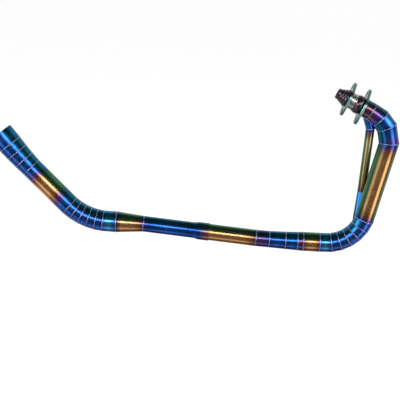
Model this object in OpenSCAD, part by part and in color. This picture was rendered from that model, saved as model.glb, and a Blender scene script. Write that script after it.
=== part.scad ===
// Exhaust link pipe: one pie-cut header, a narrow mid pipe, a wide rear pipe and a small bypass tube.
// The pipe lies in the XZ plane. The origin is the centre of the port nose's end face.
// Headings are degrees from +X, and fall all the way from the port to the tail.

/* [Port spigot] */
// Downward tilt of the port axis
port_tilt = 28; // [20:1:36]
// Radius of the plain land at the tip of the nose
nose_tip_r = 10.4; // [9.8:0.1:11.5]
// Length of the plain land at the tip
nose_tip_len = 5; // [4:0.5:6]
// Largest radius of the nose
nose_r = 16.8; // [16:0.1:18]
// Length of the nose up to the first flange
nose_len = 20; // [18:0.5:23]
// Number of turned steps on the nose
nose_steps = 3; // [2:1:5]
// Radius of the two journals that carry the flanges
journal_r = 15; // [14.6:0.1:15.3]
// Length of each journal
journal_len = 7; // [6.5:0.5:9]
// Radius of the polished collar
collar_r = 15.9; // [15.6:0.1:17]
// Length of the polished collar
collar_len = 10; // [8:0.5:12]
// Radius of the domed ring
ring_r = 18; // [17.2:0.1:19]
// Length of the domed ring
ring_len = 14; // [12:0.5:16]
// Radius of the gas way through the spigot
port_bore_r = 13.4; // [12:0.1:13.8]
// Radius of the gas way at the tip
tip_bore_r = 8.6; // [7:0.1:9]

/* [Flanges] */
// Thickness of a flange
flange_t = 5; // [4:0.5:6]
// Distance between the two bolt holes of the outer flange
outer_pitch = 54; // [50:1:56]
// Distance between the two bolt holes of the longer inner flange
inner_pitch = 59; // [58:1:64]
// Diameter of a bolt hole
hole_d = 8.5; // [6.5:0.5:9]
// Radius of a flange's rounded ends
flange_end_r = 9; // [8:0.5:10]
// Radius of a flange's middle
flange_mid_r = 20.5; // [19.5:0.5:22]
// Gap between a flange's bore and its journal
flange_gap = 0.3; // [0.2:0.05:0.5]
// Turn of both flanges about the port axis, with their bolt holes in line
flange_turn = 31; // [0:1:45]

/* [Tubes] */
// Wall of every tube
wall = 1.5; // [1.2:0.1:2]
// Outer radius of the tube at the port
neck_r = 17.4; // [17:0.1:18]
// Outer radius of the header tube
header_r = 19.05; // [18:0.05:20]
// Outer radius of the gold tube and the tube before it
gold_r = 16.5; // [16.3:0.1:17]
// Outer radius of the mid tube
mid_r = 15.9; // [15:0.1:16]
// Outer radius of the rear tube
rear_r = 21; // [20:0.1:22]
// Outer radius of the tail's mouth
mouth_r = 24.3; // [23:0.1:25.5]
// Outer radius of the bypass tube
bypass_r = 8.6; // [8:0.1:9.2]
// Half the width of a weld bead
bead_w = 1.3; // [1:0.1:1.8]
// Height of a weld bead
bead_h = 0.9; // [0.6:0.1:1.2]

/* [Header] */
// Length of the neck between the inner flange and the elbow
neck_len = 15; // [13:0.5:18]
// Headings of the three elbow cuts
elbow_heads = [-36, -52, -79];
// Lengths of the three elbow cuts
elbow_lens = [23, 21, 31];
// Heading of the long primary
primary_head = -104.4; // [-107:0.1:-102]
// Length of the long primary
primary_len = 158; // [150:1:166]
// Number of cuts in the lower bend
lower_cuts = 5; // [4:1:6]
// Length of one cut of the lower bend
lower_cut_len = 16.6; // [15:0.1:18]
// Heading after the lower bend
exit_head = -180.5; // [-182:0.1:-179]

/* [Front run] */
// Length of the blue tube after the lower bend
exit_len = 22.8; // [18:0.1:28]
// Length of the short gold tube
spacer_len = 32.4; // [28:0.1:36]
// Lengths of the three tapering cuts
taper_lens = [11.1, 23.8, 32.2];
// Outer radii at the end of the first two tapering cuts
taper_rs = [18.5, 17.5];
// Length of the blue tube before the long gold one
front_len = 26.7; // [22:0.1:32]
// Heading of the front run
front_head = -183; // [-184:0.1:-182]
// Length of the long gold tube up to the slip joint
gold_len = 93; // [85:1:100]
// Depth of the slip joint
slip_len = 22; // [18:1:26]
// Length of the slip joint's shoulder
shoulder_len = 8; // [6:1:10]
// Length of the mid tube
mid_len = 101.7; // [95:0.1:110]
// Heading of the gold and mid tubes
mid_head = -186.6; // [-188:0.1:-185]

/* [Rear run] */
// Length of the cone up to the rear tube
reducer_len = 54.2; // [48:0.1:60]
// Length of the rear tube before its bend
lead_len = 26.7; // [22:0.1:32]
// Heading of the cone and of the tube after it
reducer_head = -183.5; // [-185:0.1:-182]
// Number of cuts in the rear bend
rear_cuts = 5; // [4:1:6]
// Length of one cut of the rear bend
rear_cut_len = 15; // [13.5:0.1:17]
// Length of the straight rear tube
straight_len = 106; // [98:1:114]
// Heading of the straight rear tube
straight_head = -226.3; // [-229:0.1:-224]
// Number of flaring cuts at the tail
tail_cuts = 3; // [2:1:4]
// Length of one flaring cut
tail_cut_len = 20; // [17:0.5:23]
// Heading of the tail's mouth
mouth_head = -232.5; // [-235:0.1:-230]
// Length of the tail's mouth
mouth_len = 30; // [24:1:36]

/* [Bypass] */
// Distance of the bypass's upper end along the port axis
bypass_start = 60; // [58:0.5:62]
// Upper knee of the bypass, from the neck's lower end
bypass_knee = [2.5, 12, -33.7];
// Lower knee of the bypass, from the primary's foot
bypass_low_knee = [-4, 24, 49.8];
// Lower end of the bypass inside the lower bend, from the primary's foot
bypass_end = [-14.6, 4, -10.2];

/* [Hidden] */
$fn = 96;
reach = 12;
lap = 5;
block = 70;
over = 1;
small = 0.02;
ring_land = 2;
ring_lip = 0.4;
ring_rise = 3;
ring_fall = 4;
ring_foot = 1.6;
socket_wall = 1.2;
// How far the headings of the spacer, the three tapering cuts and the front tube lie off front_head
front_leans = [0.7, 0.7, 0.4, -0.5, -1.6];
port_head = -port_tilt;
outer_flange_s = nose_len + (journal_len - flange_t) / 2;
collar_s = nose_len + journal_len;
ring_s = collar_s + collar_len;
journal_2_s = ring_s + ring_len;
inner_flange_s = journal_2_s + (journal_len - flange_t) / 2;
neck_s = journal_2_s + journal_len;
step_len = (nose_len - nose_tip_len) / nose_steps;

function along(head) = [cos(head), 0, sin(head)];
function unit(v) = v / norm(v);
function each_of(n, value) = [for (i = [1:n]) value];
function turned(from, to, cuts) = [for (i = [1:cuts]) from + (to - from) * i / (cuts + 1)];
function flared(from, to, cuts) = [for (i = [1:cuts]) from + (to - from) * i / cuts];
function total(list, n) = n == 0 ? [0, 0, 0] : list[n - 1] + total(list, n - 1);

// Every run of tube from the port to the tail, as lengths, headings and end radii
lens = concat([neck_len], elbow_lens, [primary_len], each_of(lower_cuts, lower_cut_len),
    [exit_len, spacer_len], taper_lens, [front_len, gold_len + slip_len, shoulder_len, mid_len],
    [reducer_len, lead_len], each_of(rear_cuts, rear_cut_len), [straight_len],
    each_of(tail_cuts, tail_cut_len), [mouth_len]);
heads = concat([port_head], elbow_heads, [primary_head], turned(primary_head, exit_head, lower_cuts),
    [exit_head], [for (lean = front_leans) front_head + lean],
    [mid_head, mid_head, mid_head, reducer_head, reducer_head],
    turned(reducer_head, straight_head, rear_cuts), [straight_head],
    turned(straight_head, mouth_head, tail_cuts), [mouth_head]);
radii = concat([neck_r, neck_r, header_r, header_r, header_r, header_r], each_of(lower_cuts, header_r),
    [header_r, header_r], taper_rs, [gold_r, gold_r, gold_r, mid_r, mid_r, rear_r, rear_r],
    each_of(rear_cuts, rear_r), [rear_r], flared(rear_r, mouth_r, tail_cuts), [mouth_r]);
runs = len(lens);
steps = [for (i = [0:runs - 1]) lens[i] * along(heads[i])];
start = neck_s * along(port_head);
places = [for (i = [0:runs]) start + total(steps, i)];

function mitre(i) = i == 0 ? along(heads[0])
    : i >= runs ? along(heads[runs - 1])
    : unit(along(heads[i - 1]) + along(heads[i]));

// Index of each run's first piece
first_elbow = 1;
primary_at = first_elbow + len(elbow_lens);
first_lower = primary_at + 1;
exit_at = first_lower + lower_cuts;
spacer_at = exit_at + 1;
first_taper = spacer_at + 1;
front_at = first_taper + len(taper_lens);
gold_at = front_at + 1;
slip_at = gold_at + 1;
mid_at = slip_at + 1;
reducer_at = mid_at + 1;
lead_at = reducer_at + 1;
first_rear = lead_at + 1;
straight_at = first_rear + rear_cuts;
first_tail = straight_at + 1;
mouth_at = first_tail + tail_cuts;

bypass_points = [bypass_start * along(port_head), places[first_elbow] + bypass_knee,
    places[first_lower] + bypass_low_knee, places[first_lower] + bypass_end];

// Turns +Z to the direction v
module aim(v) {
    rotate([0, acos(v[2] / norm(v)), atan2(v[1], v[0])]) children();
}

// Everything past the plane through p that faces n
module beyond(p, n) {
    translate(p) aim(n) translate([-block, -block, 0]) cube(2 * block);
}

// A round bar from a to b, made longer by extra at both ends
module bar(a, b, r1, r2, extra) {
    grow = (r2 - r1) / norm(b - a) * extra;
    translate(a) aim(b - a) translate([0, 0, -extra])
        cylinder(h = norm(b - a) + 2 * extra, r1 = r1 - grow, r2 = r2 + grow);
}

// A bar cut by the mitre plane at each end
module cut_bar(a, b, r1, r2, n1, n2) {
    difference() {
        bar(a, b, r1, r2, reach);
        beyond(a, -n1);
        beyond(b, n2);
    }
}

// A tube cut by the mitre plane at each end
module cut_tube(a, b, r1, r2, n1, n2) {
    difference() {
        cut_bar(a, b, r1, r2, n1, n2);
        bar(a, b, r1 - wall, r2 - wall, 2 * reach);
    }
}

module run_bar(i) {
    cut_bar(places[i], places[i + 1], radii[i], radii[i + 1], mitre(i), mitre(i + 1));
}

module run_tube(i) {
    cut_tube(places[i], places[i + 1], radii[i], radii[i + 1], mitre(i), mitre(i + 1));
}

// A run's bar without its mitres, which ends inside its neighbours on the inner side of a bend
module long_bar(i) {
    bar(places[i], places[i + 1], radii[i], radii[i + 1], lap);
}

// Half a weld bead: a sleeve on the tube of direction d, from just short of the mitre plane at p
module half_bead(p, d, n, r, slope) {
    difference() {
        bar(p - reach * d, p, r + bead_h - slope * reach, r + bead_h, reach);
        bar(p - reach * d, p, r - slope * reach, r, 2 * reach);
        beyond(p - small * n, n);
        beyond(p - bead_w * n, -n);
    }
}

// The weld bead over the joint where run i begins, half of it on each of its two tubes
module bead(i) {
    half_bead(places[i], along(heads[i - 1]), mitre(i), radii[i], (radii[i] - radii[i - 1]) / lens[i - 1]);
    half_bead(places[i], -along(heads[i]), -mitre(i), radii[i], (radii[i] - radii[i + 1]) / lens[i]);
}

// A turned piece on the port axis, whose profile starts at distance s
module on_axis(s) {
    translate(s * along(port_head)) aim(along(port_head)) children();
}

module port_nose() {
    color("#2b2730") on_axis(0) difference() {
        union() {
            cylinder(h = nose_tip_len, r = nose_tip_r);
            for (i = [0:nose_steps - 1]) nose_step(i);
            translate([0, 0, nose_len - small]) cylinder(h = journal_len + small, r = journal_r);
        }
        translate([0, 0, -small]) cylinder(h = nose_tip_len + 2 * small, r = tip_bore_r);
        translate([0, 0, nose_tip_len])
            cylinder(h = nose_len - nose_tip_len, r1 = tip_bore_r, r2 = port_bore_r);
        translate([0, 0, nose_len - small]) cylinder(h = journal_len + 3 * small, r = port_bore_r);
    }
}

// One turned step: a cone up to its crest, then a straight land
module nose_step(i) {
    low = nose_tip_r + (nose_r - nose_tip_r) * i / nose_steps;
    high = nose_tip_r + (nose_r - nose_tip_r) * (i + 1) / nose_steps;
    foot = nose_tip_len + i * step_len - small;
    translate([0, 0, foot]) cylinder(h = step_len / 2 + small, r1 = low, r2 = high);
    translate([0, 0, foot + step_len / 2]) cylinder(h = step_len / 2 + small, r = high);
}

module port_collar() {
    color("#c9cdd2") on_axis(collar_s) difference() {
        cylinder(h = collar_len, r = collar_r);
        translate([0, 0, -over]) cylinder(h = collar_len + 2 * over, r = port_bore_r);
    }
}

// The domed ring and the journal that carries the inner flange
module port_ring() {
    lip = collar_r + ring_lip;
    crest = ring_len - ring_land - ring_rise - ring_fall;
    color("#3a2f35") on_axis(ring_s) difference() {
        union() {
            cylinder(h = ring_land, r = lip);
            translate([0, 0, ring_land]) cylinder(h = ring_rise, r1 = lip, r2 = ring_r);
            translate([0, 0, ring_land + ring_rise]) cylinder(h = crest, r = ring_r);
            translate([0, 0, ring_len - ring_fall])
                cylinder(h = ring_fall, r1 = ring_r, r2 = journal_r + ring_foot);
            translate([0, 0, ring_len - small]) cylinder(h = journal_len + small, r = journal_r);
        }
        translate([0, 0, -over]) cylinder(h = ring_len + journal_len + 2 * over, r = port_bore_r);
    }
}

// An oval plate: a round middle and two round ends, joined by tangent sides
module flange(s, pitch) {
    half = pitch / 2;
    lean = acos((flange_mid_r - flange_end_r) / half);
    mid = flange_mid_r * [cos(lean), sin(lean)];
    tip = [half + flange_end_r * cos(lean), flange_end_r * sin(lean)];
    on_axis(s) rotate([0, 0, 180 - flange_turn]) difference() {
        union() {
            cylinder(h = flange_t, r = flange_mid_r);
            for (side = [-1, 1]) translate([side * half, 0, 0]) cylinder(h = flange_t, r = flange_end_r);
            linear_extrude(flange_t) polygon([tip, mid, [-mid[0], mid[1]], [-tip[0], tip[1]],
                -tip, -mid, [mid[0], -mid[1]], [tip[0], -tip[1]]]);
        }
        translate([0, 0, -over]) cylinder(h = flange_t + 2 * over, r = journal_r + flange_gap);
        for (side = [-1, 1])
            translate([side * half, 0, -over]) cylinder(h = flange_t + 2 * over, d = hole_d);
    }
}

module bypass_bore(k) {
    bar(bypass_points[k], bypass_points[k + 1], bypass_r - wall, bypass_r - wall, 0);
}

module bypass_cut(k, inner) {
    a = bypass_points[k];
    b = bypass_points[k + 1];
    before = k == 0 ? b - a : a - bypass_points[k - 1];
    after = k == 2 ? b - a : bypass_points[k + 2] - b;
    n1 = unit(unit(before) + unit(b - a));
    n2 = unit(unit(b - a) + unit(after));
    if (inner) cut_tube(a, b, bypass_r, bypass_r, n1, n2);
    else cut_bar(a, b, bypass_r, bypass_r, n1, n2);
}

module neck() {
    color("#8a6a72") difference() {
        run_tube(0);
        bypass_bore(0);
    }
}

module elbow(i) {
    at = first_elbow + i;
    color(i == 0 ? "#27394a" : "#1a3a6a") if (i == 0) difference() {
        run_tube(at);
        bypass_bore(0);
    } else run_tube(at);
}

module primary() {
    color("#8a5a34") difference() {
        run_tube(primary_at);
        bypass_bore(2);
    }
}

module bypass_top() {
    color("#1d5560") difference() {
        bypass_cut(0, true);
        for (i = [0:first_elbow + 1]) long_bar(i);
    }
}

module bypass_tube() {
    color("#9a7a4a") bypass_cut(1, true);
}

module bypass_foot() {
    color("#1f4a50") difference() {
        bypass_cut(2, true);
        for (i = [primary_at:first_lower + 1]) long_bar(i);
    }
}

module lower(i) {
    color("#12305e") difference() {
        run_tube(first_lower + i);
        if (i < 2) bypass_bore(2);
    }
}

// The widened end of the mid tube, which the gold tube slides into
module slip_socket() {
    seam = places[gold_at + 1] - slip_len * along(mid_head);
    outer = gold_r + socket_wall;
    color("#16324a") translate(seam) aim(along(mid_head)) difference() {
        union() {
            cylinder(h = slip_len, r = outer);
            translate([0, 0, slip_len - small]) cylinder(h = shoulder_len + small, r1 = outer, r2 = mid_r);
        }
        translate([0, 0, -over]) cylinder(h = slip_len + over, r = gold_r);
        translate([0, 0, slip_len - small])
            cylinder(h = shoulder_len + 2 * small, r1 = gold_r - wall, r2 = mid_r - wall);
    }
}

module beads_elbow() {
    color("#b9c4e0") for (i = [first_elbow:first_lower - 1]) difference() {
        bead(i);
        bypass_cut(0, false);
    }
}

// A ring of weld on each end of the bypass's long middle tube
module beads_bypass() {
    middle = unit(bypass_points[2] - bypass_points[1]);
    top = unit(unit(bypass_points[1] - bypass_points[0]) + middle);
    foot = unit(middle + unit(bypass_points[3] - bypass_points[2]));
    color("#b9c4e0") {
        half_bead(bypass_points[1], -middle, -top, bypass_r, 0);
        half_bead(bypass_points[2], middle, foot, bypass_r, 0);
    }
}

module beads_lower() {
    color("#b9c4e0") for (i = [first_lower:exit_at]) difference() {
        bead(i);
        bypass_cut(2, false);
    }
}

module beads_front() {
    color("#b9c4e0") for (i = [spacer_at:gold_at]) bead(i);
}

module beads_rear() {
    color("#b9c4e0") for (i = [reducer_at:straight_at]) bead(i);
}

module beads_tail() {
    color("#b9c4e0") for (i = [first_tail:mouth_at]) bead(i);
}

port_nose();
port_collar();
port_ring();
color("#5f7a7a") flange(outer_flange_s, outer_pitch);  // outer_flange
color("#4a7a70") flange(inner_flange_s, inner_pitch);  // inner_flange
neck();
for (i = [0:len(elbow_lens) - 1]) elbow(i);
primary();
bypass_top();
bypass_tube();
bypass_foot();
for (i = [0:lower_cuts - 1]) lower(i);
color("#12507a") run_tube(exit_at);  // lower_exit
color("#8a5a34") run_tube(spacer_at);  // gold_spacer
for (i = [0:len(taper_lens) - 1])
    color("#1a3f86") run_tube(first_taper + i);
color("#4a2f6a") run_tube(front_at);  // front_tube
color("#8f5f38") run_tube(gold_at);  // gold_tube
slip_socket();
color("#14366e") run_tube(mid_at);  // mid_tube
color("#7d5230") run_tube(reducer_at);  // reducer
color("#125a70") run_tube(lead_at);  // rear_lead
for (i = [0:rear_cuts - 1])
    color("#163c86") run_tube(first_rear + i);
color("#7d5230") run_tube(straight_at);  // rear_straight
for (i = [0:tail_cuts - 1])
    color("#0f4a6a") run_tube(first_tail + i);
color("#0f4a6a") run_tube(mouth_at);  // tail_mouth
beads_elbow();
beads_bypass();
beads_lower();
beads_front();
beads_rear();
beads_tail();
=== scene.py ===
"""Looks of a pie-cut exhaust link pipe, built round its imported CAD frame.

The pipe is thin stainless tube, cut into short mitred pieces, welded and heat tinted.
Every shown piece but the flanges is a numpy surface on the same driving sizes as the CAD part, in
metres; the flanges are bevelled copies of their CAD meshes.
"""

import logging
import math
from dataclasses import dataclass, replace
from enum import Enum
from typing import Sequence

import bpy
import bmesh
import numpy as np
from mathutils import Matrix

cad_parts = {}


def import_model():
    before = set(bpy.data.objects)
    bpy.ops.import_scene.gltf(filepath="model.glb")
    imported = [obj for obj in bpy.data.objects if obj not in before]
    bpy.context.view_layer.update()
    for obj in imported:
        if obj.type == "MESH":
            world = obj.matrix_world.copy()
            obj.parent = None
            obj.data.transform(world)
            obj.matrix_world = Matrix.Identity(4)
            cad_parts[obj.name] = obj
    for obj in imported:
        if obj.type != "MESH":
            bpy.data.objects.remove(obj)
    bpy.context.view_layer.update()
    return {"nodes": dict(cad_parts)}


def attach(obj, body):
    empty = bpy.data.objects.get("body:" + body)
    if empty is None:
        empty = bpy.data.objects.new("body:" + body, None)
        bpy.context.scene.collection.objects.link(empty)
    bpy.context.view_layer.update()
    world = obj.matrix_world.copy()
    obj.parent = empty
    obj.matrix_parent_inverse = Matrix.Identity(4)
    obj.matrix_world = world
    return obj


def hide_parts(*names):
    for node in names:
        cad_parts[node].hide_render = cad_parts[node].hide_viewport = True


LOG = logging.getLogger("exhaust_link_pipe")
MM = 0.001
PIPE = "pipe"
Y_AXIS = np.array([0.0, 1.0, 0.0])


# Colours and materials


def linear(code: str) -> tuple[float, float, float]:
    """Turns an sRGB hex colour into linear values.

    Args:
        code: A colour such as "#a0b0c0".

    Returns:
        Red, green and blue, each (v/12.92) below 0.04045 and ((v+0.055)/1.055)^2.4 above it.
    """
    values = np.array([int(code[i : i + 2], 16) / 255 for i in (1, 3, 5)])
    low = values / 12.92
    high = ((values + 0.055) / 1.055) ** 2.4
    red, green, blue = np.where(values <= 0.04045, low, high)
    return float(red), float(green), float(blue)


class Heat(Enum):
    """Temper colours, each as the tube's own face colour and a painted reflection colour for its
    upper side and edges.
    """

    # The second colour of each pair is painted reflection: the temper colour as it looks mirroring
    # the studio's dim teal upper side, put into the surface colour.
    STRAW = ("#e8cc9c", "#5f7f5a")
    GOLD = ("#c8935f", "#3a6c4c")
    BROWN = ("#a06a42", "#345c46")
    PLUM = ("#6c4a56", "#2c4c5a")
    PURPLE = ("#62468c", "#1b4c68")
    NAVY = ("#22488f", "#0d4f66")
    BLUE = ("#2c62bb", "#10607f")
    CYAN = ("#4f9fd6", "#177a9c")

    def face(self) -> np.ndarray:
        """Linear colour of the tube's side."""
        return np.array(linear(self.value[0]))

    def crown(self) -> np.ndarray:
        """Linear colour of the painted reflection on the tube's upper side."""
        return np.array(linear(self.value[1]))


@dataclass(frozen=True)
class Finish:
    """One metal finish.

    Its pattern sizes are in millimetres, on the piece's own coordinates.
    """

    name: str
    slot: str
    color: str
    roughness: float
    roughness_spread: float
    mark_mm: float
    mark_depth: float
    uses_tint: bool = False
    cloud_mm: float = 14.0
    cloud_amount: float = 0.12
    cloud_octaves: float = 3.0
    mark_octaves: float = 6.0

    def build(self) -> bpy.types.Material:
        """Makes the material.

        Returns:
            A metal whose colour is the base or the "tint" attribute with faint clouds, whose
            roughness varies with a noise, and whose normal carries fine polishing marks.
        """
        material = bpy.data.materials.new(self.name)
        material.use_nodes = True
        tree = material.node_tree
        shader = next(n for n in tree.nodes if n.type == "BSDF_PRINCIPLED")
        shader.inputs["Metallic"].default_value = 1.0
        coords = tree.nodes.new("ShaderNodeTexCoord")
        cloud = self._noise(tree, coords, self.cloud_mm, self.cloud_octaves)
        grain = self._noise(tree, coords, self.mark_mm, self.mark_octaves)
        shade = tree.nodes.new("ShaderNodeMapRange")
        shade.inputs["To Min"].default_value = 1.0 - self.cloud_amount
        shade.inputs["To Max"].default_value = 1.0 + self.cloud_amount
        tree.links.new(cloud.outputs["Fac"], shade.inputs["Value"])
        mix = tree.nodes.new("ShaderNodeMix")
        mix.data_type = "RGBA"
        mix.blend_type = "MULTIPLY"
        mix.inputs["Factor"].default_value = 1.0
        if self.uses_tint:
            tint = tree.nodes.new("ShaderNodeAttribute")
            tint.attribute_name = "tint"
            tree.links.new(tint.outputs["Color"], mix.inputs["A"])
        else:
            mix.inputs["A"].default_value = (*linear(self.color), 1.0)
        tree.links.new(shade.outputs["Result"], mix.inputs["B"])
        tree.links.new(mix.outputs["Result"], shader.inputs["Base Color"])
        rough = tree.nodes.new("ShaderNodeMapRange")
        rough.inputs["To Min"].default_value = self.roughness - self.roughness_spread
        rough.inputs["To Max"].default_value = self.roughness + self.roughness_spread
        tree.links.new(grain.outputs["Fac"], rough.inputs["Value"])
        tree.links.new(rough.outputs["Result"], shader.inputs["Roughness"])
        bump = tree.nodes.new("ShaderNodeBump")
        bump.inputs["Distance"].default_value = self.mark_depth * MM
        bump.inputs["Strength"].default_value = 1.0
        tree.links.new(grain.outputs["Fac"], bump.inputs["Height"])
        tree.links.new(bump.outputs["Normal"], shader.inputs["Normal"])
        material.diffuse_color = (*linear(self.color), 1.0)
        return material

    def _noise(
        self, tree: bpy.types.NodeTree, coords: bpy.types.Node, size_mm: float, detail: float
    ) -> bpy.types.Node:
        """Adds a noise whose blotches are about size_mm across.

        Args:
            tree: The material's nodes.
            coords: The Texture Coordinate node whose Object output is read.
            size_mm: Size of one blotch.
            detail: Octaves of the noise.

        Returns:
            The noise node.
        """
        noise = tree.nodes.new("ShaderNodeTexNoise")
        noise.inputs["Scale"].default_value = 1.0 / (size_mm * MM)
        noise.inputs["Detail"].default_value = detail
        tree.links.new(coords.outputs["Object"], noise.inputs["Vector"])
        return noise


# Tinted tube: 304 stainless, polished, then tinted by welding heat. The colour is in the mesh.
TINTED = tuple(
    Finish(name, slot, color, 0.2, 0.05, 0.9, 0.0012, True)
    for slot, name, color in (
        ("tint_blue", "stainless_304_polished_heat_blued", "#1c3d7a"),
        ("tint_teal", "stainless_304_polished_heat_teal", "#146078"),
        ("tint_gold", "stainless_304_polished_heat_gold", "#c08a5e"),
        ("tint_purple", "stainless_304_polished_heat_purple", "#54407c"),
    )
)
# Filler of the TIG welds: bright, slightly oxidised and rippled
WELD = Finish("stainless_308_tig_weld_bead", "weld_bead", "#7f90be", 0.28, 0.08, 0.5, 0.004)
# Nose and ring: mild steel, turned and darkened by heat
TURNED = Finish(
    "mild_steel_turned_heat_oxidised", "dark_turned_steel", "#4f464e", 0.26, 0.07, 0.6, 0.003
)
# Collar: stainless, turned and buffed bright
BUFFED = Finish("stainless_304_turned_buffed", "polished_steel", "#aba6a2", 0.16, 0.04, 0.8, 0.001)
# Flanges: laser-cut mild steel plate, zinc plated with a faint green passivation
PLATE = Finish(
    "steel_plate_laser_cut_passivated", "flange_steel", "#5f7f7c", 0.26, 0.08, 0.7, 0.003
)


# Sizes and the centreline


def along(heading: float) -> np.ndarray:
    """Unit vector in the XZ plane at a heading in degrees from +X towards +Z."""
    angle = math.radians(heading)
    return np.array([math.cos(angle), 0.0, math.sin(angle)])


def unit(vector: np.ndarray) -> np.ndarray:
    """The vector divided by its length."""
    return vector / np.linalg.norm(vector)


def turned(first: float, last: float, cuts: int) -> list[float]:
    """Headings of the cuts that share the turn from first to last evenly."""
    return [first + (last - first) * i / (cuts + 1) for i in range(1, cuts + 1)]


@dataclass(frozen=True)
class RunSizes:
    """Driving sizes of the main run, in millimetres and degrees."""

    port_tilt: float = 28.0
    neck_s: float = 58.0
    wall: float = 1.5
    neck_r: float = 17.4
    header_r: float = 19.05
    gold_r: float = 16.5
    mid_r: float = 15.9
    rear_r: float = 21.0
    mouth_r: float = 24.3
    neck_len: float = 15.0
    elbow_heads: tuple[float, ...] = (-36.0, -52.0, -79.0)
    elbow_lens: tuple[float, ...] = (23.0, 21.0, 31.0)
    primary_head: float = -104.4
    primary_len: float = 158.0
    lower_cuts: int = 5
    lower_cut_len: float = 16.6
    exit_head: float = -180.5
    exit_len: float = 22.8
    spacer_len: float = 32.4
    taper_lens: tuple[float, ...] = (11.1, 23.8, 32.2)
    taper_rs: tuple[float, ...] = (18.5, 17.5)
    front_len: float = 26.7
    front_head: float = -183.0
    front_leans: tuple[float, ...] = (0.7, 0.7, 0.4, -0.5, -1.6)
    gold_len: float = 93.0
    slip_len: float = 22.0
    shoulder_len: float = 8.0
    socket_wall: float = 1.2
    socket_soft: float = 0.5
    mid_len: float = 101.7
    mid_head: float = -186.6
    reducer_len: float = 54.2
    lead_len: float = 26.7
    reducer_head: float = -183.5
    rear_cuts: int = 5
    rear_cut_len: float = 15.0
    straight_len: float = 106.0
    straight_head: float = -226.3
    tail_cuts: int = 3
    tail_cut_len: float = 20.0
    mouth_head: float = -232.5
    mouth_len: float = 30.0

    def names(self) -> list[str]:
        """Node names of the run's tubes, from the port to the tail."""
        return [
            "neck", "elbow_1", "elbow_2", "elbow_3", "primary",
            *(f"lower_{i + 1}" for i in range(self.lower_cuts)),
            "lower_exit", "gold_spacer", "taper_1", "taper_2", "taper_3",
            "front_tube", "gold_tube", "socket_core", "mid_tube", "reducer", "rear_lead",
            *(f"rear_{i + 1}" for i in range(self.rear_cuts)),
            "rear_straight",
            *(f"tail_{i + 1}" for i in range(self.tail_cuts)),
            "tail_mouth",
        ]

    def lengths(self) -> list[float]:
        """Length of each tube along the centreline."""
        return [
            self.neck_len, *self.elbow_lens, self.primary_len,
            *([self.lower_cut_len] * self.lower_cuts),
            self.exit_len, self.spacer_len, *self.taper_lens, self.front_len,
            self.gold_len + self.slip_len, self.shoulder_len, self.mid_len,
            self.reducer_len, self.lead_len,
            *([self.rear_cut_len] * self.rear_cuts), self.straight_len,
            *([self.tail_cut_len] * self.tail_cuts), self.mouth_len,
        ]

    def headings(self) -> list[float]:
        """Heading of each tube."""
        return [
            -self.port_tilt, *self.elbow_heads, self.primary_head,
            *turned(self.primary_head, self.exit_head, self.lower_cuts), self.exit_head,
            *(self.front_head + lean for lean in self.front_leans),
            self.mid_head, self.mid_head, self.mid_head, self.reducer_head, self.reducer_head,
            *turned(self.reducer_head, self.straight_head, self.rear_cuts), self.straight_head,
            *turned(self.straight_head, self.mouth_head, self.tail_cuts), self.mouth_head,
        ]

    def radii(self) -> list[float]:
        """Outer radius at each station, one more than there are tubes."""
        flare = [
            self.rear_r + (self.mouth_r - self.rear_r) * i / self.tail_cuts
            for i in range(1, self.tail_cuts + 1)
        ]
        return [
            self.neck_r, self.neck_r, *([self.header_r] * (6 + self.lower_cuts)),
            *self.taper_rs, self.gold_r, self.gold_r, self.gold_r, self.mid_r, self.mid_r,
            self.rear_r, self.rear_r, *([self.rear_r] * self.rear_cuts), self.rear_r,
            *flare, self.mouth_r,
        ]


@dataclass(frozen=True)
class PortSizes:
    """Sizes of the turned port spigot, in millimetres."""

    tip_r: float = 10.4
    tip_len: float = 5.0
    nose_r: float = 16.8
    nose_len: float = 20.0
    steps: int = 3
    journal_r: float = 15.0
    journal_len: float = 7.0
    collar_r: float = 15.9
    collar_len: float = 10.0
    ring_r: float = 18.0
    ring_len: float = 14.0
    bore_r: float = 13.4
    tip_bore_r: float = 8.6
    step_groove: float = 0.5
    step_drop: float = 0.35
    collar_grooves: tuple[float, float] = (0.36, 0.64)
    groove_half: float = 0.4
    groove_depth: float = 0.4
    ring_lip: float = 0.4
    ring_land: float = 2.0
    ring_rise: float = 3.0
    ring_fall: float = 4.0
    ring_foot: float = 1.6
    nose_soft: float = 0.3
    collar_soft: float = 0.5
    ring_soft: float = 1.6


@dataclass(frozen=True)
class BypassSizes:
    """Radius and corner points of the bypass tube, in millimetres.

    The upper knee is measured from the neck's lower end, the others from the primary's foot.
    """

    radius: float = 8.6
    start: float = 60.0
    knee: tuple[float, float, float] = (2.5, 12.0, -33.7)
    low_knee: tuple[float, float, float] = (-4.0, 24.0, 49.8)
    end: tuple[float, float, float] = (-14.6, 4.0, -10.2)

    def points(self, tilt: float, neck_end: np.ndarray, foot: np.ndarray) -> np.ndarray:
        """The four corner points, where the first lies on the port axis."""
        knees = (neck_end + self.knee, foot + self.low_knee, foot + self.end)
        return np.array([self.start * along(-tilt), *knees])


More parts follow.
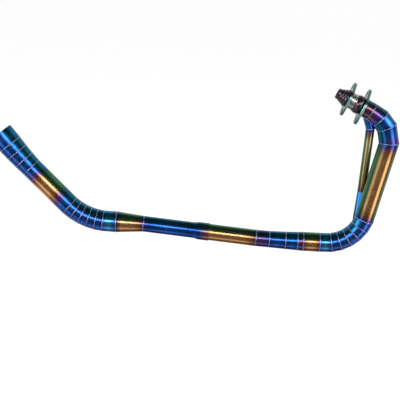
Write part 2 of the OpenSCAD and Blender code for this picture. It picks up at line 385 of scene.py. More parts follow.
@dataclass(frozen=True)
class Cut:
    """A tube between two mitre planes, in millimetres."""

    name: str
    start: np.ndarray
    end: np.ndarray
    r_start: float
    r_end: float
    n_start: np.ndarray
    n_end: np.ndarray

    @property
    def length(self) -> float:
        """Length of the tube's axis."""
        return float(np.linalg.norm(self.end - self.start))

    @property
    def axis(self) -> np.ndarray:
        """Direction of the tube's axis."""
        return unit(self.end - self.start)

    @property
    def slope(self) -> float:
        """Growth of the radius per millimetre of the axis."""
        return (self.r_end - self.r_start) / self.length

    def spokes(self, angles: np.ndarray) -> np.ndarray:
        """Unit vectors square to the axis: cos(a) times the upper plus sin(a) times the side."""
        side = unit(np.cross(np.cross(self.axis, Y_AXIS), self.axis))
        upper = np.cross(side, self.axis)
        return np.cos(angles)[:, None] * upper + np.sin(angles)[:, None] * side

    def mitres(self, spokes: np.ndarray, inset: float = 0.0) -> tuple[np.ndarray, np.ndarray]:
        """Where each ruling of the tube meets the two mitre planes.

        Args:
            spokes: Unit vectors square to the axis, one for each ruling.
            inset: How far inside the outer surface the ruling lies.

        Returns:
            Distances along the axis from the start: s = -r(e.n) / (d.n + k(e.n)) at the start
            plane, and the same from the end plane, for axis d, spoke e, normal n and slope k.
        """
        first = spokes @ self.n_start
        last = spokes @ self.n_end
        low = (inset - self.r_start) * first / (self.axis @ self.n_start + self.slope * first)
        high = (inset - self.r_end) * last / (self.axis @ self.n_end + self.slope * last)
        return low, high + self.length

    def surface(self, spokes: np.ndarray, s: np.ndarray, inset: float = 0.0) -> np.ndarray:
        """Points start + s d + (r + k s - inset) e, for s of any number of rows.

        Args:
            spokes: Unit vectors, one for each column.
            s: Distances along the axis, rows by columns.
            inset: How far inside the outer surface the points lie.

        Returns:
            Points, rows by columns by three.
        """
        radius = self.r_start + self.slope * s - inset
        return self.start + s[..., None] * self.axis + radius[..., None] * spokes[None, :, :]


def make_cuts(names: Sequence[str], points: np.ndarray, radii: Sequence[float]) -> list[Cut]:
    """Cuts a path of tubes at its corners, each by the plane that halves the turn.

    Args:
        names: One name for each tube.
        points: Corner points in millimetres, one more than the names.
        radii: Outer radius at each corner.

    Returns:
        One Cut for each name.
    """
    axes = [unit(b - a) for a, b in zip(points[:-1], points[1:])]
    planes = [axes[0], *(unit(a + b) for a, b in zip(axes[:-1], axes[1:])), axes[-1]]
    return [
        Cut(name, points[i], points[i + 1], radii[i], radii[i + 1], planes[i], planes[i + 1])
        for i, name in enumerate(names)
    ]


def run_cuts(sizes: RunSizes) -> dict[str, Cut]:
    """The main run's tubes by name, with their places on the centreline."""
    steps = np.array([n * along(h) for n, h in zip(sizes.lengths(), sizes.headings())])
    start = sizes.neck_s * along(-sizes.port_tilt)
    points = np.vstack([start, start + np.cumsum(steps, axis=0)])
    cuts = make_cuts(sizes.names(), points, sizes.radii())
    return {cut.name: cut for cut in cuts}


# Surfaces


def wrapped_quads(rows: int, columns: int, close_rows: bool, base: int = 0) -> np.ndarray:
    """Faces of a grid whose columns wrap round.

    Args:
        rows: Number of rows.
        columns: Number of columns.
        close_rows: Whether the last row joins the first.
        base: Index of the grid's first vertex.

    Returns:
        Corner indices, one row of four for each face.
    """
    count = rows if close_rows else rows - 1
    i = np.arange(count)[:, None]
    j = np.arange(columns)[None, :]
    after = (i + 1) % rows
    right = (j + 1) % columns
    corners = [i * columns + j, after * columns + j, after * columns + right, i * columns + right]
    quads = np.stack([np.broadcast_to(c, (count, columns)) for c in corners], axis=-1)
    return quads.reshape(-1, 4) + base


def mesh_object(
    name: str,
    points: np.ndarray,
    faces: np.ndarray,
    material: bpy.types.Material,
    tint: np.ndarray | None = None,
) -> bpy.types.Object:
    """Makes a smooth mesh object at the origin with its normals outwards.

    Args:
        name: The object's name.
        points: Vertices in millimetres.
        faces: Corner indices, four for each face.
        material: The only material.
        tint: Linear colour for each vertex, or None.

    Returns:
        The object, linked to the scene.
    """
    mesh = bpy.data.meshes.new(name)
    mesh.vertices.add(len(points))
    mesh.vertices.foreach_set("co", (points * MM).astype(np.float32).ravel())
    mesh.loops.add(faces.size)
    mesh.loops.foreach_set("vertex_index", faces.astype(np.int32).ravel())
    mesh.polygons.add(len(faces))
    mesh.polygons.foreach_set("loop_start", np.arange(0, faces.size, 4, dtype=np.int32))
    mesh.update(calc_edges=True)
    mesh.validate()
    shell = bmesh.new()
    shell.from_mesh(mesh)
    bmesh.ops.recalc_face_normals(shell, faces=shell.faces)
    shell.to_mesh(mesh)
    shell.free()
    mesh.polygons.foreach_set("use_smooth", np.ones(len(mesh.polygons), dtype=bool))
    if tint is not None:
        layer = mesh.color_attributes.new("tint", "FLOAT_COLOR", "POINT")
        colors = np.hstack([tint, np.ones((len(tint), 1))]).astype(np.float32)
        layer.data.foreach_set("color", colors.ravel())
    mesh.materials.append(material)
    piece = bpy.data.objects.new(name, mesh)
    bpy.context.scene.collection.objects.link(piece)
    return piece


def place(piece: bpy.types.Object, body: str, nodes: Sequence[str]) -> None:
    """Fixes a piece to its body and hides the CAD nodes it stands for."""
    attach(piece, body)
    if nodes:
        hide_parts(*nodes)
    LOG.info("%s: %d faces, rides on %s", piece.name, len(piece.data.polygons), body)


def edge_rows(length: float, spacing: float, edge: float) -> np.ndarray:
    """Fractions from 0 to 1 that are even along a length and doubled near both ends."""
    inner = np.linspace(0.0, 1.0, max(2, int(length / spacing)))[1:-1]
    near = edge / length
    inner = inner[(inner > near) & (inner < 1.0 - near)]
    return np.concatenate([[0.0, near], inner, [1.0 - near, 1.0]])


@dataclass(frozen=True)
class Tinting:
    """Heat colours along one tube, as pairs of a fraction of its length and a colour, with a
    painted reflection colour towards one side.

    A wave is its size, its count round the tube, its phase and its twist along the tube.
    """

    stops: tuple[tuple[float, Heat], ...]
    wobble: float = 0.02
    waves: tuple[tuple[float, float, float, float], ...] = (
        (1.0, 2.0, 1.3, 0.0), (0.6, 3.0, 0.0, 5.0), (0.4, 7.0, 0.0, 0.0),
    )
    # Where the painted reflection starts and where it is full, along the side measure
    reflection_start: float = 0.2
    reflection_full: float = 0.72

    def colors(self, fraction: np.ndarray, angles: np.ndarray, up: np.ndarray) -> np.ndarray:
        """Colour of each point.

        Args:
            fraction: Place along the tube from 0 to 1, rows by columns.
            angles: Angle of each column.
            up: How far each point lies towards the side with the painted reflection, from -1 to 1.

        Returns:
            Linear colours: the face colour by straight steps between the stops, moved by three
            slow waves round the tube, then mixed towards that side into the painted reflection
            colour.
        """
        waves = (
            size * np.sin(angles * count + phase + fraction * twist)
            for size, count, phase, twist in self.waves
        )
        place_on = fraction + self.wobble * sum(waves)
        at = np.array([stop for stop, _ in self.stops])
        faces = np.array([heat.face() for _, heat in self.stops])
        # Colours of the painted reflection, one for each stop
        crown_reflections = np.array([heat.crown() for _, heat in self.stops])
        face = np.stack([np.interp(place_on, at, faces[:, c]) for c in range(3)], axis=-1)
        crown = np.stack([np.interp(place_on, at, crown_reflections[:, c]) for c in range(3)], axis=-1)
        weight = np.clip((up - self.reflection_start) / (self.reflection_full - self.reflection_start), 0.0, 1.0)
        weight = (weight * weight * (3.0 - 2.0 * weight))[..., None]
        return face * (1.0 - weight) + crown * weight


# How strong the painted reflection is where it lies on both edges of a tube
BOTH_SIDES = 0.82


class PaintedReflectionSide(Enum):
    """Which side of a tube gets the painted reflection: its top, the inside of its bends, or both
    edges.
    """

    TOP = "top"
    INSIDE = "inside"
    BOTH = "both"

    def measure(self, rise: np.ndarray, angles: np.ndarray) -> np.ndarray:
        """How far each column lies towards the side with the painted reflection.

        Args:
            rise: Vertical part of each column's normal.
            angles: Angle of each column, 0 on the inside of the bends.

        Returns:
            The rise; the larger of it and cos(a); or the size of cos(a) on both sides.
        """
        if self is PaintedReflectionSide.TOP:
            return rise
        if self is PaintedReflectionSide.INSIDE:
            return np.maximum(rise, np.cos(angles))
        return np.abs(np.cos(angles)) * BOTH_SIDES


@dataclass(frozen=True)
class TubeShape:
    """Fineness of a tube's grid, in millimetres and columns."""

    around: int = 112
    spacing: float = 1.6
    inner_rows: int = 6
    edge: float = 0.25
    wall: float = 1.5
    # Side that gets the painted reflection colour
    crown: PaintedReflectionSide = PaintedReflectionSide.INSIDE

    def build(
        self, cut: Cut, tinting: Tinting, material: bpy.types.Material
    ) -> bpy.types.Object:
        """Makes one tube as a closed shell.

        The outer surface runs from the first mitre plane to the second, the inner one runs back,
        and the grid wraps both ways, so the two end rings close it. Point (t, a) lies on the
        ruling of angle a at s = low(a) + t (high(a) - low(a)).

        Args:
            cut: The tube.
            tinting: Its heat colours and its painted reflection colours.
            material: Its metal.

        Returns:
            The tube's object.
        """
        angles = np.linspace(0.0, 2.0 * math.pi, self.around, endpoint=False)
        spokes = cut.spokes(angles)
        t_out = edge_rows(cut.length, self.spacing, self.edge)
        t_in = edge_rows(cut.length, cut.length / self.inner_rows, self.edge)[::-1]
        grids, tints = [], []
        for rows, inset in ((t_out, 0.0), (t_in, self.wall)):
            low, high = cut.mitres(spokes, inset)
            s = low[None, :] + rows[:, None] * (high - low)[None, :]
            grids.append(cut.surface(spokes, s, inset))
            # Share of the painted reflection colour in each column
            up = np.broadcast_to(self.crown.measure(spokes[:, 2], angles)[None, :], s.shape)
            tints.append(tinting.colors(s / cut.length, angles[None, :], up))
        points = np.vstack(grids)
        faces = wrapped_quads(len(points), self.around, True)
        tint = np.vstack(tints).reshape(-1, 3)
        return mesh_object(cut.name + "_tube", points.reshape(-1, 3), faces, material, tint)


@dataclass(frozen=True)
class BeadShape:
    """A weld bead of overlapping coins, in millimetres."""

    half_width: float = 0.9
    height: float = 0.45
    coin: float = 1.5
    samples: int = 5
    across: int = 10
    sink: float = 0.35
    bend: float = 0.45
    drift: float = 0.06
    valley: float = 0.72
    waist: float = 0.94
    coin_power: float = 0.7
    drift_count: float = 5.0

    def rings(self, cut: Cut, at_end: bool) -> np.ndarray:
        """Points of the bead round one end of a tube.

        The bead's spine is the mitre ellipse P(a). Its section is a half ellipse across the
        spine: P + w sin(b) n + (h cos(b) - sink) o, where n is the plane's normal and o points
        out of the ellipse. The height h falls over each coin, and the coin's edge bends back
        with the square of the distance from the spine.

        Args:
            cut: The tube whose end is welded.
            at_end: Whether the seam is at the tube's end and not at its start.

        Returns:
            Points, samples round the ring by points across it by three.
        """
        radius = cut.r_end if at_end else cut.r_start
        coins = int(2.0 * math.pi * radius / self.coin)
        angles = np.linspace(0.0, 2.0 * math.pi, coins * self.samples, endpoint=False)
        spokes = cut.spokes(angles)
        low, high = cut.mitres(spokes)
        s = high if at_end else low
        spine = cut.surface(spokes, s[None, :])[0]
        center = cut.end if at_end else cut.start
        normal = cut.n_end if at_end else cut.n_start
        out = spine - center
        out /= np.linalg.norm(out, axis=1, keepdims=True)
        lean = np.linspace(-math.pi / 2.0, math.pi / 2.0, self.across)
        lateral = np.sin(lean)[None, :]
        phase = np.mod(angles[:, None] * coins / (2.0 * math.pi) + self.bend * lateral**2, 1.0)
        drift = 1.0 + self.drift * np.sin(angles * self.drift_count + radius)[:, None]
        crest = np.sin(math.pi * phase)
        height = self.height * drift * (self.valley + (1.0 - self.valley) * crest**self.coin_power)
        width = self.half_width * drift * (self.waist + (1.0 - self.waist) * crest)
        rise = height * np.cos(lean)[None, :] - self.sink * (1.0 - np.cos(lean)[None, :])
        return (
            spine[:, None, :]
            + (width * lateral)[..., None] * normal
            + rise[..., None] * out[:, None, :]
        )

    def build(
        self, name: str, seams: Sequence[tuple[Cut, bool]], material: bpy.types.Material
    ) -> bpy.types.Object:
        """Joins the rings of several seams in one object.

        Args:
            name: The object's name.
            seams: Each seam as a tube and whether the seam is at its end.
            material: The weld's metal.

        Returns:
            The object, each ring a closed band.
        """
        points, faces, base = [], [], 0
        for cut, at_end in seams:
            ring = self.rings(cut, at_end)
            grid = np.swapaxes(ring, 0, 1)
            points.append(grid.reshape(-1, 3))
            faces.append(wrapped_quads(grid.shape[0], grid.shape[1], True, base))
            base += grid.shape[0] * grid.shape[1]
        return mesh_object(name, np.vstack(points), np.vstack(faces), material)


def revolved(
    name: str,
    origin: np.ndarray,
    axis: np.ndarray,
    profile: np.ndarray,
    material: bpy.types.Material,
    around: int = 144,
    tinting: Tinting | None = None,
) -> bpy.types.Object:
    """Turns a closed profile about an axis.

    Args:
        name: The object's name.
        origin: Where the profile's distance is 0.
        axis: Direction of growing distance.
        profile: Closed loop of (distance, radius) pairs; point (i, a) is origin + d axis + r e(a).
        material: The metal.
        around: Number of columns.
        tinting: Heat colours over the profile's length, with the painted reflection colour on the
            upper side, or None.

    Returns:
        The turned piece.
    """
    angles = np.linspace(0.0, 2.0 * math.pi, around, endpoint=False)
    side = unit(np.cross(np.cross(axis, Y_AXIS), axis))
    upper = np.cross(side, axis)
    spokes = np.cos(angles)[:, None] * upper + np.sin(angles)[:, None] * side
    distance, radius = profile[:, 0], profile[:, 1]
    points = origin + distance[:, None, None] * axis + radius[:, None, None] * spokes[None]
    faces = wrapped_quads(len(profile), around, True)
    tint = None
    if tinting is not None:
        share = (distance - distance.min()) / (distance.max() - distance.min())
        grid = np.broadcast_to(share[:, None], (len(profile), around))
        # Painted reflection colour on the upper side, as on the tubes
        up = np.broadcast_to(spokes[None, :, 2], grid.shape)
        tint = tinting.colors(grid, angles[None, :], up).reshape(-1, 3)
    return mesh_object(name, points.reshape(-1, 3), faces, material, tint)


# Most of a side that a rounding may take, and how far in from it the side's own points lie
CURVE_SHARE = 0.4
SUPPORT_SHARE = 0.25
SUPPORT_MM = 0.3


def rounded(corners: Sequence[tuple[float, float]], radius: float, steps: int = 4) -> np.ndarray:
    """A closed profile with each corner cut back by radius and rounded by a quadratic curve.

    Args:
        corners: Loop of (distance, radius) corners in millimetres.
        radius: How far from each corner the curve starts, up to CURVE_SHARE of a side.
        steps: Points on each curve.

    Returns:
        The loop's points: (1-t)^2 A + 2t(1-t) corner + t^2 B round each corner, and two more on
        each side, a little way in from its ends, which keep its flat or cone crisp.
    """
    loop = np.array(corners, dtype=float)
    before, after = np.roll(loop, 1, axis=0) - loop, np.roll(loop, -1, axis=0) - loop
    size_before = np.linalg.norm(before, axis=1, keepdims=True)
    size_after = np.linalg.norm(after, axis=1, keepdims=True)
    start = loop + before / size_before * np.minimum(radius, CURVE_SHARE * size_before)
    stop = loop + after / size_after * np.minimum(radius, CURVE_SHARE * size_after)
    t = np.linspace(0.0, 1.0, steps)[None, :, None]
    curve = (1 - t) ** 2 * start[:, None] + 2 * t * (1 - t) * loop[:, None] + t**2 * stop[:, None]
    side = np.roll(start, -1, axis=0) - stop
    length = np.linalg.norm(side, axis=1, keepdims=True)
    inset = side * np.minimum(SUPPORT_SHARE, SUPPORT_MM / length)
    support = np.stack([stop + inset, stop + side - inset], axis=1)
    return np.concatenate([curve, support], axis=1).reshape(-1, 2)


# Sub-assemblies


def stops(text: str) -> tuple[tuple[float, Heat], ...]:
    """Reads heat-colour stops.

    Args:
        text: Pairs such as "0 navy, 0.5 blue", where the number is a share of the length.

    Returns:
        The pairs of share and colour.
    """
    pairs = (part.split() for part in text.split(","))
    return tuple((float(share), Heat[name.upper()]) for share, name in pairs)


@dataclass(frozen=True)
class TubeLook:
    """The slot, the heat colours and the side with the painted reflection of one tube."""

    slot: str
    stops: tuple[tuple[float, Heat], ...]
    wobble: float = 0.02
    crown: PaintedReflectionSide = PaintedReflectionSide.INSIDE


NAVY_CUT = stops("0 purple, 0.14 navy, 0.5 blue, 0.86 navy, 1 purple")
DEEP_CUT = stops("0 navy, 0.5 blue, 1 navy")
GOLD_RUN = stops(
    "0 navy, 0.04 purple, 0.09 brown, 0.2 gold, 0.8 gold, 0.91 brown, 0.96 purple, 1 navy"
)
SLIM_RUN = stops(
    "0 navy, 0.03 purple, 0.08 brown, 0.2 straw, 0.8 gold, 0.93 brown, 0.97 purple, 1 navy"
)
SPACER = stops("0 purple, 0.16 brown, 0.4 gold, 0.65 gold, 0.86 brown, 1 purple")
FRONT = stops("0 navy, 0.35 purple, 1 plum")
GOLD_TUBE = stops("0 plum, 0.07 brown, 0.2 gold, 0.75 gold, 1 brown")
REDUCER = stops("0 purple, 0.12 brown, 0.35 gold, 0.8 gold, 0.92 plum, 1 navy")
REAR = stops(
    "0 navy, 0.12 blue, 0.22 purple, 0.32 brown, 0.42 gold, "
    "0.62 gold, 0.74 brown, 0.82 purple, 0.92 blue, 1 navy"
)
# Each look may set which side of its tube gets the painted reflection colour.
LOOKS = {
    "neck": TubeLook("tint_purple", stops("0 plum, 1 plum"), crown=PaintedReflectionSide.TOP),
    "elbow_1": TubeLook("tint_blue", stops("0 plum, 0.45 purple, 1 navy"), crown=PaintedReflectionSide.TOP),
    "elbow_2": TubeLook("tint_blue", DEEP_CUT),
    "elbow_3": TubeLook("tint_blue", stops("0 navy, 0.45 blue, 1 purple")),
    "primary": TubeLook("tint_gold", GOLD_RUN, crown=PaintedReflectionSide.BOTH),
    "lower_exit": TubeLook("tint_teal", stops("0 navy, 0.5 cyan, 1 blue")),
    "gold_spacer": TubeLook("tint_gold", SPACER),
    "taper_1": TubeLook("tint_blue", stops("0 plum, 1 purple")),
    "taper_2": TubeLook("tint_blue", DEEP_CUT),
    "taper_3": TubeLook("tint_blue", DEEP_CUT),
    "front_tube": TubeLook("tint_purple", FRONT, 0.05),
    "gold_tube": TubeLook("tint_gold", GOLD_TUBE),
    "mid_tube": TubeLook("tint_blue", stops("0 navy, 0.5 blue, 0.9 navy, 1 purple")),
    "reducer": TubeLook("tint_gold", REDUCER),
    "rear_lead": TubeLook("tint_teal", stops("0 navy, 0.5 cyan, 1 blue")),
    "rear_straight": TubeLook("tint_gold", REAR),
    "tail_mouth": TubeLook("tint_blue", DEEP_CUT),
}
BEND_LOOK = TubeLook("tint_blue", NAVY_CUT)


@dataclass
class TubeRun:
    """Every tube of the main run and the weld beads between them."""

    sizes: RunSizes
    metals: dict[str, bpy.types.Material]
    weld: bpy.types.Material
    shape: TubeShape = TubeShape()
    bead: BeadShape = BeadShape()

    def build(self) -> None:
        """Makes the tubes, the slip socket and the beads."""
        cuts = run_cuts(self.sizes)
        for name, cut in cuts.items():
            if name != "socket_core":
                look = LOOKS.get(name, BEND_LOOK)
                shape = replace(self.shape, crown=look.crown)
                piece = shape.build(cut, Tinting(look.stops, look.wobble), self.metals[look.slot])
                place(piece, PIPE, [name])
        self._socket(cuts["gold_tube"])
        self._beads(cuts)

    def _socket(self, gold: Cut) -> None:
        """Makes the widened end of the mid tube, which the gold tube slides into."""
        sizes = self.sizes
        outer, bore = sizes.gold_r + sizes.socket_wall, sizes.gold_r - sizes.wall
        deep, foot = sizes.slip_len, sizes.slip_len + sizes.shoulder_len
        corners = [
            (0.0, sizes.gold_r), (0.0, outer), (deep, outer), (foot, sizes.mid_r),
            (foot, sizes.mid_r - sizes.wall), (deep, bore), (deep, sizes.gold_r),
        ]
        tinting = Tinting(stops("0 brown, 0.3 purple, 0.6 navy, 1 navy"))
        seam = gold.end - deep * gold.axis
        profile = rounded(corners, sizes.socket_soft)
        metal = self.metals["tint_blue"]
        piece = revolved("slip_socket_sleeve", seam, gold.axis, profile, metal, tinting=tinting)
        place(piece, PIPE, ["slip_socket"])

    def _beads(self, cuts: dict[str, Cut]) -> None:
        """Makes one object of weld beads for each CAD bead node."""
        names = self.sizes.names()
        groups = {
            "beads_elbow": ("elbow_1", "lower_1"),
            "beads_lower": ("lower_1", "gold_spacer"),
            "beads_front": ("gold_spacer", "socket_core"),
            "beads_rear": ("reducer", "tail_1"),
            "beads_tail": ("tail_1", None),
        }
        for node, (first, stop) in groups.items():
            last = len(names) if stop is None else names.index(stop)
            seams = [(cuts[name], False) for name in names[names.index(first) : last]]
            ring = self.bead.build(node + "_rippled", seams, self.weld)
            place(ring, PIPE, [node])


@dataclass
class Bypass:
    """The slim tube that leaves the neck's underside and joins the lower bend."""

    sizes: BypassSizes
    run: RunSizes
    metals: dict[str, bpy.types.Material]
    weld: bpy.types.Material
    # Painted reflection on both edges of the bypass tubes
    shape: TubeShape = TubeShape(around=64, crown=PaintedReflectionSide.BOTH)
    bead: BeadShape = BeadShape(half_width=1.3, height=0.9)

    def build(self) -> None:
        """Makes the three tubes and the beads at the two knees."""
        main = run_cuts(self.run)
        points = self.sizes.points(self.run.port_tilt, main["neck"].end, main["primary"].end)
        names = ["bypass_top", "bypass_tube", "bypass_foot"]
        cuts = make_cuts(names, points, [self.sizes.radius] * 4)
        looks = [
            TubeLook("tint_teal", stops("0 navy, 1 blue")),
            TubeLook("tint_gold", SLIM_RUN, 0.01),
            TubeLook("tint_teal", stops("0 blue, 1 navy")),
        ]
        for cut, look in zip(cuts, looks):
            tinting = Tinting(look.stops, look.wobble)
            piece = self.shape.build(cut, tinting, self.metals[look.slot])
            place(piece, PIPE, [cut.name])
        knees = [(cuts[1], False), (cuts[2], False)]
        ring = self.bead.build("beads_bypass_rippled", knees, self.weld)
        place(ring, PIPE, ["beads_bypass"])


@dataclass
class PortSpigot:
    """The turned pieces on the port axis: nose, collar and domed ring."""

    sizes: PortSizes
    tilt: float
    turned_steel: bpy.types.Material
    buffed_steel: bpy.types.Material

    def build(self) -> None:
        """Makes the three turned pieces."""
        axis = along(-self.tilt)
        collar_at = self.sizes.nose_len + self.sizes.journal_len
        ring_at = collar_at + self.sizes.collar_len
        dark, bright = self.turned_steel, self.buffed_steel
        nose = revolved("nose_turned", 0.0 * axis, axis, self._nose(), dark)
        place(nose, PIPE, ["port_nose"])
        collar = revolved("collar_turned", collar_at * axis, axis, self._collar(), bright)
        place(collar, PIPE, ["port_collar"])
        ring = revolved("ring_turned", ring_at * axis, axis, self._ring(), dark)
        place(ring, PIPE, ["port_ring"])

    def _nose(self) -> np.ndarray:
        """Profile of the nose: a plain tip, then steps of a cone and a land, then the journal."""
        s = self.sizes
        step = (s.nose_len - s.tip_len) / s.steps
        rise = (s.nose_r - s.tip_r) / s.steps
        corners = [(0.0, s.tip_bore_r), (0.0, s.tip_r), (s.tip_len, s.tip_r)]
        for i in range(s.steps):
            foot, high = s.tip_len + i * step, s.tip_r + (i + 1) * rise
            top, low = foot + step, high - s.step_drop
            corners += [(foot + step / 2, high), (top - s.step_groove, high)]
            corners += [(top - 0.8 * s.step_groove, low), (top, low)]
        end = s.nose_len + s.journal_len
        corners += [(s.nose_len, s.journal_r), (end, s.journal_r), (end, s.bore_r)]
        corners += [(s.nose_len, s.bore_r), (s.tip_len, s.tip_bore_r)]
        return rounded(corners, s.nose_soft, 3)

    def _collar(self) -> np.ndarray:
        """Profile of the collar, with two fine grooves."""
        s = self.sizes
        corners = [(0.0, s.bore_r), (0.0, s.collar_r)]
        wide, low = s.groove_half, s.collar_r - s.groove_depth
        for at in (s.collar_len * share for share in s.collar_grooves):
            corners += [(at - wide, s.collar_r), (at - wide / 2, low)]
            corners += [(at + wide / 2, low), (at + wide, s.collar_r)]
        corners += [(s.collar_len, s.collar_r), (s.collar_len, s.bore_r)]
        return rounded(corners, s.collar_soft, 4)

    def _ring(self) -> np.ndarray:
        """Profile of the domed ring and its journal."""
        s = self.sizes
        end = s.ring_len + s.journal_len
        lip, foot = s.collar_r + s.ring_lip, s.journal_r + s.ring_foot
        corners = [
            (0.0, s.bore_r), (0.0, lip), (s.ring_land, lip), (s.ring_land + s.ring_rise, s.ring_r),
            (s.ring_len - s.ring_fall, s.ring_r), (s.ring_len, foot), (s.ring_len, s.journal_r),
            (end, s.journal_r), (end, s.bore_r),
        ]
        return rounded(corners, s.ring_soft, 7)


@dataclass
class Flange:
    """A loose oval flange with softened edges, on the shape of its CAD node."""

    node: str
    material: bpy.types.Material
    merge: float = 0.002
    bevel: float = 0.5
    bevel_steps: int = 3
    flat_angle: float = 1.0
    sharp_angle: float = 40.0

    def build(self, source: bpy.types.Object) -> None:
        """Copies the node's mesh, merges its triangles into flat faces and bevels its edges.

        Args:
            source: The CAD node, which stays as it is.
        """
        mesh = source.data.copy()
        shell = bmesh.new()
        shell.from_mesh(mesh)
        bmesh.ops.remove_doubles(shell, verts=shell.verts, dist=self.merge * MM)
        flat = math.radians(self.flat_angle)
        bmesh.ops.dissolve_limit(shell, angle_limit=flat, verts=shell.verts, edges=shell.edges)
        shell.to_mesh(mesh)
        shell.free()
        mesh.polygons.foreach_set("use_smooth", np.ones(len(mesh.polygons), dtype=bool))
        mesh.materials.clear()
        mesh.materials.append(self.material)
        piece = bpy.data.objects.new(self.node + "_plate", mesh)
        bpy.context.scene.collection.objects.link(piece)
        soften = piece.modifiers.new("soft edges", "BEVEL")
        soften.width = self.bevel * MM
        soften.segments = self.bevel_steps
        soften.limit_method = "ANGLE"
        soften.angle_limit = math.radians(self.sharp_angle)
        soften.harden_normals = True
        place(piece, self.node, [self.node])


# Studio


@dataclass(frozen=True)
class Softbox:
    """A rectangular lamp that faces a point, in metres and watts."""

    name: str
    azimuth: float
    elevation: float
    distance: float
    width: float
    height: float
    watts: float
    tone: str = "#ffffff"


Edges = tuple[float, float, float]


def band(value: np.ndarray, low: float, high: float, soft: float) -> np.ndarray:
    """1 between low and high, falling smoothly to 0 over soft degrees outside them."""
    rise = np.clip((value - low + soft) / soft, 0.0, 1.0)
    fall = np.clip((high + soft - value) / soft, 0.0, 1.0)
    inside = rise * fall
    return inside * inside * (3.0 - 2.0 * inside)


@dataclass(frozen=True)
class Surround:
    """Brightness of the softboxes and cards round the set, where 1 is white.

    Their edges are angles in degrees: from, to, and how softly they end.
    """

    radius: float = 5.0
    rows: int = 181
    columns: int = 240
    pole: float = 89.5
    horizon: float = 4.0
    card: float = 0.12
    low_card: float = 0.21
    low_glow: float = 0.8
    low_glow_lift: Edges = (-66.0, -56.0, 8.0)
    left_window: float = 1.04
    left_turn: Edges = (-62.0, -42.0, 8.0)
    right_window: float = 2.08
    right_turn: Edges = (36.0, 58.0, 8.0)
    window_lift: Edges = (-40.0, 10.0, 10.0)
    backdrop: float = 0.8
    backdrop_lift: Edges = (-48.0, 50.0, 14.0)
    behind: Edges = (110.0, 200.0, 30.0)
    strip: float = 6.5
    strip_lift: Edges = (11.0, 20.0, 3.0)
    strip_turn: Edges = (-75.0, 75.0, 20.0)

    def tone(self, lift: np.ndarray, turn: np.ndarray) -> np.ndarray:
        """Brightness in a direction.

        Args:
            lift: Elevation in degrees.
            turn: Azimuth in degrees, 0 on the camera's side.

        Returns:
            Dark cards in front, a bright strip over the camera, a faint glow off the table, a
            tall window on each side, and the white backdrop behind.
        """
        lift, turn = np.broadcast_arrays(lift, turn)
        front = np.where(lift > self.horizon, self.card, self.low_card)
        front = front + self.low_glow * band(lift, *self.low_glow_lift)
        left = self.left_window * band(turn, *self.left_turn)
        right = self.right_window * band(turn, *self.right_turn)
        front = front + (left + right) * band(lift, *self.window_lift)
        back = self.card + self.backdrop * band(lift, *self.backdrop_lift)
        share = band(np.abs(turn), *self.behind)
        strip = self.strip * band(lift, *self.strip_lift) * band(turn, *self.strip_turn)
        return front * (1.0 - share) + back * share + strip


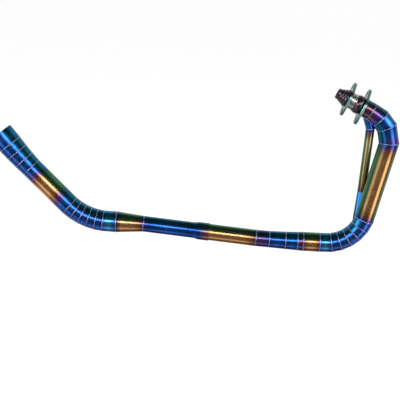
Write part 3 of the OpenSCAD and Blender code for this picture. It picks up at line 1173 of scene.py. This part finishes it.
@dataclass
class Studio:
    """Floor, world, lamps and camera."""

    aim: tuple[float, float, float] = (-0.25, 0.0, -0.17)
    floor_z: float = -0.36
    floor_half: float = 60.0
    floor_white: float = 0.72
    floor_color: str = "#f8f8f8"
    floor_roughness: float = 0.9
    camera_at: tuple[float, float, float] = (-0.1801, -1.5218, 0.196)
    camera_turn: tuple[float, float, float] = (75.0, 0.0, 3.0)
    lens: float = 72.0
    sensor: float = 36.0
    surround: Surround = Surround()
    boxes: tuple[Softbox, ...] = (
        Softbox("strip_high", 0.0, 26.0, 2.2, 3.0, 0.22, 26.0, "#eef6ff"),
        Softbox("strip_left", -62.0, 12.0, 2.2, 0.3, 1.6, 14.0),
        Softbox("top_soft", 150.0, 62.0, 2.2, 1.6, 1.2, 30.0),
    )

    def build(self) -> None:
        """Makes the whole studio."""
        self._world()
        self._floor()
        self._surround()
        for box in self.boxes:
            self._lamp(box)
        self._camera()
        bpy.context.scene.view_settings.view_transform = "Standard"

    def _world(self) -> None:
        """A plain white world, where a strength of 1 is white."""
        world = bpy.data.worlds.new("studio")
        world.use_nodes = True
        bpy.context.scene.world = world
        background = next(n for n in world.node_tree.nodes if n.type == "BACKGROUND")
        background.inputs["Color"].default_value = (1.0, 1.0, 1.0, 1.0)
        background.inputs["Strength"].default_value = 1.0

    def _floor(self) -> None:
        """A pale matt floor that keeps the shadow, lifted to white where the camera looks."""
        mesh = bpy.data.meshes.new("floor")
        far = self.floor_half
        flat = ((-far, -far), (far, -far), (far, far), (-far, far))
        mesh.from_pydata([(x, y, self.floor_z) for x, y in flat], [], [(0, 1, 2, 3)])
        floor = bpy.data.objects.new("floor", mesh)
        bpy.context.scene.collection.objects.link(floor)
        material = bpy.data.materials.new("matt_white_paper")
        material.use_nodes = True
        tree = material.node_tree
        shader = next(n for n in tree.nodes if n.type == "BSDF_PRINCIPLED")
        output = next(n for n in tree.nodes if n.type == "OUTPUT_MATERIAL")
        shader.inputs["Base Color"].default_value = (*linear(self.floor_color), 1.0)
        shader.inputs["Roughness"].default_value = self.floor_roughness
        glow = tree.nodes.new("ShaderNodeEmission")
        path = tree.nodes.new("ShaderNodeLightPath")
        share = tree.nodes.new("ShaderNodeMath")
        share.operation = "MULTIPLY"
        share.inputs[1].default_value = self.floor_white
        mix = tree.nodes.new("ShaderNodeMixShader")
        tree.links.new(path.outputs["Is Camera Ray"], share.inputs[0])
        tree.links.new(share.outputs["Value"], mix.inputs["Fac"])
        tree.links.new(shader.outputs["BSDF"], mix.inputs[1])
        tree.links.new(glow.outputs["Emission"], mix.inputs[2])
        tree.links.new(mix.outputs["Shader"], output.inputs["Surface"])
        mesh.materials.append(material)
        floor.visible_glossy = False

    def _surround(self) -> None:
        """A large sphere of softboxes and dark cards that only reflections meet.

        Point (i, j) lies at R (sin a cos e, -cos a cos e, sin e), for elevations e and azimuths a,
        where azimuth 0 is the camera's side. Its brightness is the surround's tone there.
        """
        rows, columns = self.surround.rows, self.surround.columns
        pole = self.surround.pole
        lift = np.radians(np.linspace(-pole, pole, rows))[:, None]
        turn = np.linspace(-math.pi, math.pi, columns, endpoint=False)[None, :]
        tone = self.surround.tone(np.degrees(lift), np.degrees(turn))
        high = np.broadcast_to(np.sin(lift), tone.shape)
        grid = np.stack([np.cos(lift) * np.sin(turn), -np.cos(lift) * np.cos(turn), high], axis=-1)
        material = bpy.data.materials.new("softboxes_and_cards")
        material.use_nodes = True
        material.cycles.emission_sampling = "NONE"
        tree = material.node_tree
        output = next(n for n in tree.nodes if n.type == "OUTPUT_MATERIAL")
        glow = tree.nodes.new("ShaderNodeEmission")
        tint = tree.nodes.new("ShaderNodeAttribute")
        tint.attribute_name = "tint"
        tree.links.new(tint.outputs["Color"], glow.inputs["Color"])
        tree.links.new(glow.outputs["Emission"], output.inputs["Surface"])
        colors = np.repeat(tone.reshape(-1, 1), 3, axis=1)
        faces = wrapped_quads(rows, columns, False)
        points = self.surround.radius * grid.reshape(-1, 3) / MM
        sphere = mesh_object("surround", points, faces, material, colors)
        for way in ("camera", "diffuse", "transmission", "shadow", "volume_scatter"):
            setattr(sphere, "visible_" + way, False)

    def _lamp(self, box: Softbox) -> None:
        """Adds a softbox that faces the aim point.

        Its azimuth is 0 in front of the object, on the camera's side, and grows to the right.
        """
        light = bpy.data.lights.new(box.name, "AREA")
        light.shape = "RECTANGLE"
        light.size = box.width
        light.size_y = box.height
        light.energy = box.watts
        light.color = linear(box.tone)
        turn, lift = math.radians(box.azimuth), math.radians(box.elevation)
        level = math.cos(lift)
        away = np.array([math.sin(turn) * level, -math.cos(turn) * level, math.sin(lift)])
        lamp = bpy.data.objects.new(box.name, light)
        lamp.location = tuple(np.array(self.aim) + box.distance * away)
        lamp.rotation_euler = (math.pi / 2.0 - lift, 0.0, turn)
        lamp.visible_glossy = False
        bpy.context.scene.collection.objects.link(lamp)

    def _camera(self) -> None:
        """Sets the camera at the photograph's place."""
        data = bpy.data.cameras.new("camera")
        data.lens = self.lens
        data.sensor_width = self.sensor
        camera = bpy.data.objects.new("camera", data)
        camera.location = self.camera_at
        camera.rotation_euler = tuple(math.radians(v) for v in self.camera_turn)
        bpy.context.scene.collection.objects.link(camera)
        bpy.context.scene.camera = camera


def main() -> None:
    """Builds the pipe's looks and the studio, in order."""
    logging.basicConfig(level=logging.INFO, format="%(name)s: %(message)s")
    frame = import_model()
    metals = {finish.slot: finish.build() for finish in TINTED}
    weld = WELD.build()
    plate = PLATE.build()
    sizes = RunSizes()
    TubeRun(sizes, metals, weld).build()
    Bypass(BypassSizes(), sizes, metals, weld).build()
    PortSpigot(PortSizes(), sizes.port_tilt, TURNED.build(), BUFFED.build()).build()
    for node in ("outer_flange", "inner_flange"):
        Flange(node, plate).build(frame["nodes"][node])
    Studio().build()
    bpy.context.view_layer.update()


if __name__ == "__main__":
    main()
